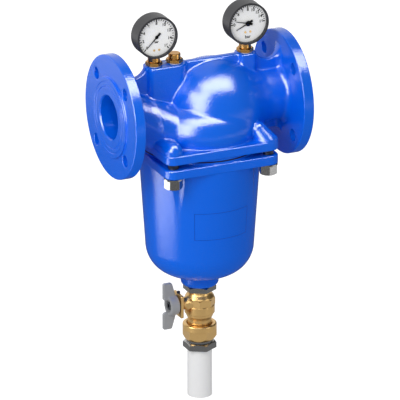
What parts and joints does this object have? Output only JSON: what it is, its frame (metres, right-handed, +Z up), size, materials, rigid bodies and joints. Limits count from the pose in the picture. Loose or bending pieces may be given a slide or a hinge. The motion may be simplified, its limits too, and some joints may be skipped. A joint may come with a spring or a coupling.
{
  "type": "self cleaning filter",
  "caption": "Flanged in-line water filter with a deep cast bowl, two pressure gauges on top and a drain ball valve below that flushes the filter insert.",
  "frame": {"origin": "centre of the raised sealing face of the inlet flange, on the pipe axis", "axes": "+X along the pipe in the direction of flow, +Z up, +Y to the back of the gauges"},
  "size_m": [0.29, 0.185, 0.6055],
  "materials": {
    "blue_casting": "gloss",
    "zinc_steel": "satin",
    "stainless_mesh": "satin",
    "black_rubber": "matte",
    "insert_plastic": "matte",
    "bronze": "satin",
    "brown_brass": "satin",
    "valve_brass": "satin",
    "ball_chrome": "polished",
    "seat_plastic": "matte",
    "handle_alloy": "satin",
    "gauge_black": "gloss",
    "dial_white": "satin",
    "gauge_window": "clear",
    "pointer_black": "matte",
    "pipe_white": "satin"
  },
  "bodies": {
    "housing": {"bowl_bolts": "zinc_steel", "bowl_gasket": "black_rubber", "bowl_washers": "zinc_steel", "drain_nipple": "zinc_steel", "drain_pipe": "pipe_white", "filter_bowl": "blue_casting", "fitting_seals": "black_rubber", "housing_body": "blue_casting", "inlet_bourdon_tube": "valve_brass", "inlet_dial_rivets": "valve_brass", "inlet_gauge_adapter": "brown_brass", "inlet_gauge_case": "gauge_black", "inlet_gauge_dial": "dial_white", "inlet_gauge_lens": "gauge_window", "inlet_gauge_movement": "valve_brass", "inlet_gauge_socket": "valve_brass", "insert_seat_ring": "bronze", "outlet_adapter": "zinc_steel", "outlet_bourdon_tube": "valve_brass", "outlet_dial_rivets": "valve_brass", "outlet_gauge_adapter": "brown_brass", "outlet_gauge_case": "gauge_black", "outlet_gauge_dial": "dial_white", "outlet_gauge_lens": "gauge_window", "outlet_gauge_movement": "valve_brass", "outlet_gauge_socket": "valve_brass", "return_spring": "zinc_steel", "spring_guide": "zinc_steel", "stem_gland": "valve_brass", "stop_plate": "valve_brass", "stop_screw": "gauge_black", "union_gasket": "black_rubber", "union_nut": "valve_brass", "valve_body": "valve_brass", "valve_seats": "seat_plastic", "valve_tail": "valve_brass", "vent_plug": "brown_brass"},
    "filter_insert": {"insert_head": "insert_plastic", "insert_rings": "black_rubber", "filter_cage": "insert_plastic", "upper_mesh": "stainless_mesh", "main_mesh": "stainless_mesh", "insert_base": "insert_plastic", "rotor_axle": "stainless_mesh"},
    "cleaning_rotor": {"impeller": "insert_plastic", "jet_arms": "insert_plastic"},
    "drain_handle": {"valve_handle": "handle_alloy", "valve_stem": "valve_brass", "valve_ball": "ball_chrome", "handle_screw": "zinc_steel"},
    "inlet_needle": {"inlet_pointer": "pointer_black"},
    "outlet_needle": {"outlet_pointer": "pointer_black"},
    "outlet_set_needle": {"outlet_set_pointer": "pointer_black"}
  },
  "joints": [
    {"name": "insert_slide", "type": "slide", "parent": "housing", "child": "filter_insert", "axis": [0, 0, 1], "range_m": [-0.012, 0], "stiffness_N_per_m": 2000, "springref_m": 0.03, "deforming": ["return_spring"]},
    {"name": "rotor_spin", "type": "hinge", "parent": "filter_insert", "child": "cleaning_rotor", "pos_m": [0.145, 0, -0.14], "axis": [0, 0, 1], "continuous": true},
    {"name": "drain_handle_turn", "type": "hinge", "parent": "housing", "child": "drain_handle", "pos_m": [0.105, 0, -0.3095], "axis": [1, 0, 0], "range_deg": [0, 90]},
    {"name": "inlet_needle_turn", "type": "hinge", "parent": "housing", "child": "inlet_needle", "pos_m": [0.072, -0.0107, 0.117], "axis": [0, 1, 0], "range_deg": [0, 270], "stiffness_Nm_per_rad": 0.00005, "springref_deg": -28.65},
    {"name": "outlet_needle_turn", "type": "hinge", "parent": "housing", "child": "outlet_needle", "pos_m": [0.2175, -0.0107, 0.117], "axis": [0, 1, 0], "range_deg": [0, 205], "stiffness_Nm_per_rad": 0.00005, "springref_deg": -28.65},
    {"name": "outlet_set_needle_turn", "type": "hinge", "parent": "housing", "child": "outlet_set_needle", "pos_m": [0.2175, -0.0107, 0.117], "axis": [0, 1, 0], "range_deg": [-15, 165]}
  ]
}
